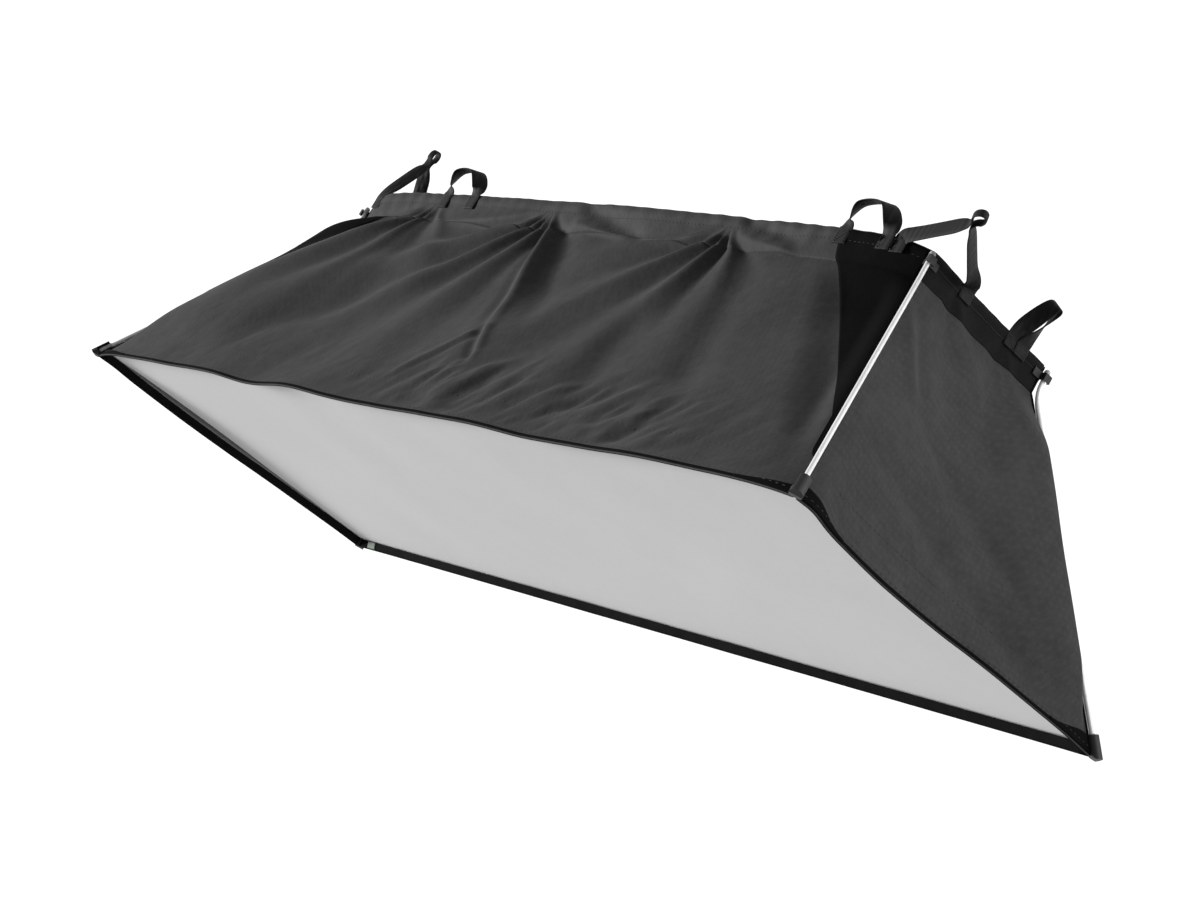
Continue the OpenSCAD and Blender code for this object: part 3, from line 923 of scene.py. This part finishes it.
def build_painted_shade_patch(level, side):
    """Smooth black patch beside the rod, wide at the rear hem and narrow in front: painted shade standing
    in for the shadowed fold there.
    """
    out = SIGN[side]
    y = np.linspace(SHADE_PATCH_REAR[side], NECK_Y - SHADE_PATCH_L, 97)[:, None] * np.ones((1, 25))
    d = NECK_Y - y
    half = wall_half(level, y)
    narrowest = 8 * MM * smooth((SHADE_PATCH_L + 10 * MM - d) / (20 * MM)) + 2 * MM
    wide = np.maximum(SHADE_PATCH_W - SHADE_PATCH_TAPER * (d + SHADE_PATCH_W_BACK), narrowest)
    inner, outer = 1 - wide / half, 1 - 1.5 * MM / half
    u = out * (inner + (outer - inner) * np.linspace(0, 1, 25)[None, :])
    roll = rear_roll(y)
    # Near-black binding cloth laid here as painted shade for the shadowed fold beside the rod
    lay_binding_and_shade_patch(f"corner_painted_shade_{level}_{side}", wall_points(level, u, y, 1.5 * MM + roll),
              wall_points(level, u, y, 2.0 * MM + roll), flip=SIGN[level] == out)


def build_corner_flap(name, wall, end, corner_depth):
    """Black binding wrapped round a front corner: deepest at the corner, tapering along the edge."""
    share = np.linspace(0, 1, 33)[None, :]
    depth = corner_depth * (1 - smooth(share)) + FLAP_HEM
    y = FRONT_Y + 1 * MM + depth * np.linspace(0, 1, 9)[:, None]
    from_corner = 1 * MM + FLAP_LENGTH * share
    u = end * (1 - from_corner / wall_half(wall, FRONT_Y)) * np.ones_like(y)
    lay_binding_and_shade_patch(name, wall_points(wall, u, y, 3.1 * MM), wall_points(wall, u, y, 3.7 * MM),
              flip=(wall in ("top", "left")) == (end > 0))


def build_corner(level, side):
    """The patch of painted shade beside the rod and the binding that are laid over one corner seam."""
    build_painted_shade_patch(level, side)
    build_corner_flap(f"corner_flap_{level}_{side}", side, SIGN[level], SIDE_FLAP_DEPTH)
    build_corner_flap(f"corner_tab_{level}_{side}", level, SIGN[side], LONG_FLAP_DEPTH)


def dress_cad():
    """Materials for the CAD nodes that stay in view. The first start that fits a name counts."""
    looks = {"rod_tip": FERRULE, "rod_cap": FERRULE, "rod": ROD, "cup": FITTING, "keeper": FITTING}
    for name, node in frame["nodes"].items():
        look = next((material for start, material in looks.items() if name.startswith(start)), None)
        if look:
            node.data.materials.clear()
            node.data.materials.append(look)


# ---- room, light and camera -------------------------------------------------------------

FLOOR_Z = -1.1
FLOOR_HALF = 60
WORLD_LIGHT = 0.32      # how strongly the world lights the room
WORLD_SEEN = 1.0        # the white that the camera sees past the floor
KEY_FROM = (-0.80, -0.22, 0.56)
KEY_STRENGTH = 5.2
KEY_SOFTNESS = math.radians(14)
FILL_PLACE = (3.2, 1.6, -0.8)
FILL_FROM = (2.5, 1.6, -0.8)
FILL_WATTS = 60
FILL_SIZE = 1.4


def build_room():
    """A wide white floor, and a world that lights the room less than it shows to the camera."""
    floor = mesh_object("floor", [(-FLOOR_HALF, -FLOOR_HALF, FLOOR_Z), (FLOOR_HALF, -FLOOR_HALF, FLOOR_Z),
                                  (FLOOR_HALF, FLOOR_HALF, FLOOR_Z), (-FLOOR_HALF, FLOOR_HALF, FLOOR_Z)],
                        [(0, 1, 2, 3)])
    floor.data.materials.append(floor_finish("pale_floor"))
    world = bpy.data.worlds.new("studio")
    bpy.context.scene.world = world
    world.use_nodes = True
    nodes, links = world.node_tree.nodes, world.node_tree.links
    background = nodes["Background"]
    background.inputs["Color"].default_value = (1, 1, 1, 1)
    ray = nodes.new("ShaderNodeLightPath")
    strength = nodes.new("ShaderNodeMapRange")
    strength.inputs["To Min"].default_value = WORLD_LIGHT
    strength.inputs["To Max"].default_value = WORLD_SEEN
    links.new(ray.outputs["Is Camera Ray"], strength.inputs["Value"])
    links.new(strength.outputs["Result"], background.inputs["Strength"])


def add_lamp(name, light, came_from):
    """A lamp, unseen by the camera, whose light arrives from the direction "came_from"."""
    lamp = bpy.data.objects.new(name, light)
    lamp.rotation_euler = Vector(came_from).to_track_quat("Z", "Y").to_euler()
    lamp.visible_camera = False
    bpy.context.scene.collection.objects.link(lamp)
    return lamp


def build_lights():
    """A broad key from the upper left, and a fill that picks out the right-hand wall."""
    key = bpy.data.lights.new("key", "SUN")
    key.energy = KEY_STRENGTH
    key.angle = KEY_SOFTNESS
    add_lamp("key", key, KEY_FROM)
    fill = bpy.data.lights.new("right_fill", "AREA")
    fill.shape = "DISK"
    fill.size = FILL_SIZE
    fill.energy = FILL_WATTS
    add_lamp("right_fill", fill, FILL_FROM).location = FILL_PLACE


CAMERA_PLACE = Vector((2.591, -1.059, 1.826))
CAMERA_TURN = -17.22        # degrees round Z, from +X to where the camera stands
CAMERA_HEIGHT = 34.62       # degrees above the horizon
CAMERA_ROLL = 50.17         # degrees round the line of sight
LENS_MM = 72
SENSOR_MM = 36


def build_camera():
    """Puts the camera in place and turns it."""
    turn, height, roll = (math.radians(v) for v in (CAMERA_TURN, CAMERA_HEIGHT, CAMERA_ROLL))
    back = Vector((math.cos(height) * math.cos(turn), math.cos(height) * math.sin(turn),
                   math.sin(height)))
    level = Vector((0, 0, 1)).cross(back).normalized()
    upright = back.cross(level)
    up = upright * math.cos(roll) + level * math.sin(roll)
    right = up.cross(back)
    data = bpy.data.cameras.new("camera")
    data.lens = LENS_MM
    data.sensor_width = SENSOR_MM
    camera = bpy.data.objects.new("camera", data)
    basis = Matrix((right, up, back)).transposed().to_4x4()
    camera.matrix_world = Matrix.Translation(CAMERA_PLACE) @ basis
    bpy.context.scene.collection.objects.link(camera)
    bpy.context.scene.camera = camera


build_camera()
build_room()
build_lights()
for wall_side in SIDES:
    build_wall(wall_side)
build_elastic()
build_diffuser()
for corner in CORNERS:
    build_welt(*corner)
build_webbing()
build_stitching()
build_tag()
for corner in CORNERS:
    build_corner(*corner)
dress_cad()
bpy.context.scene.view_settings.view_transform = "Standard"

bpy.context.view_layer.update()
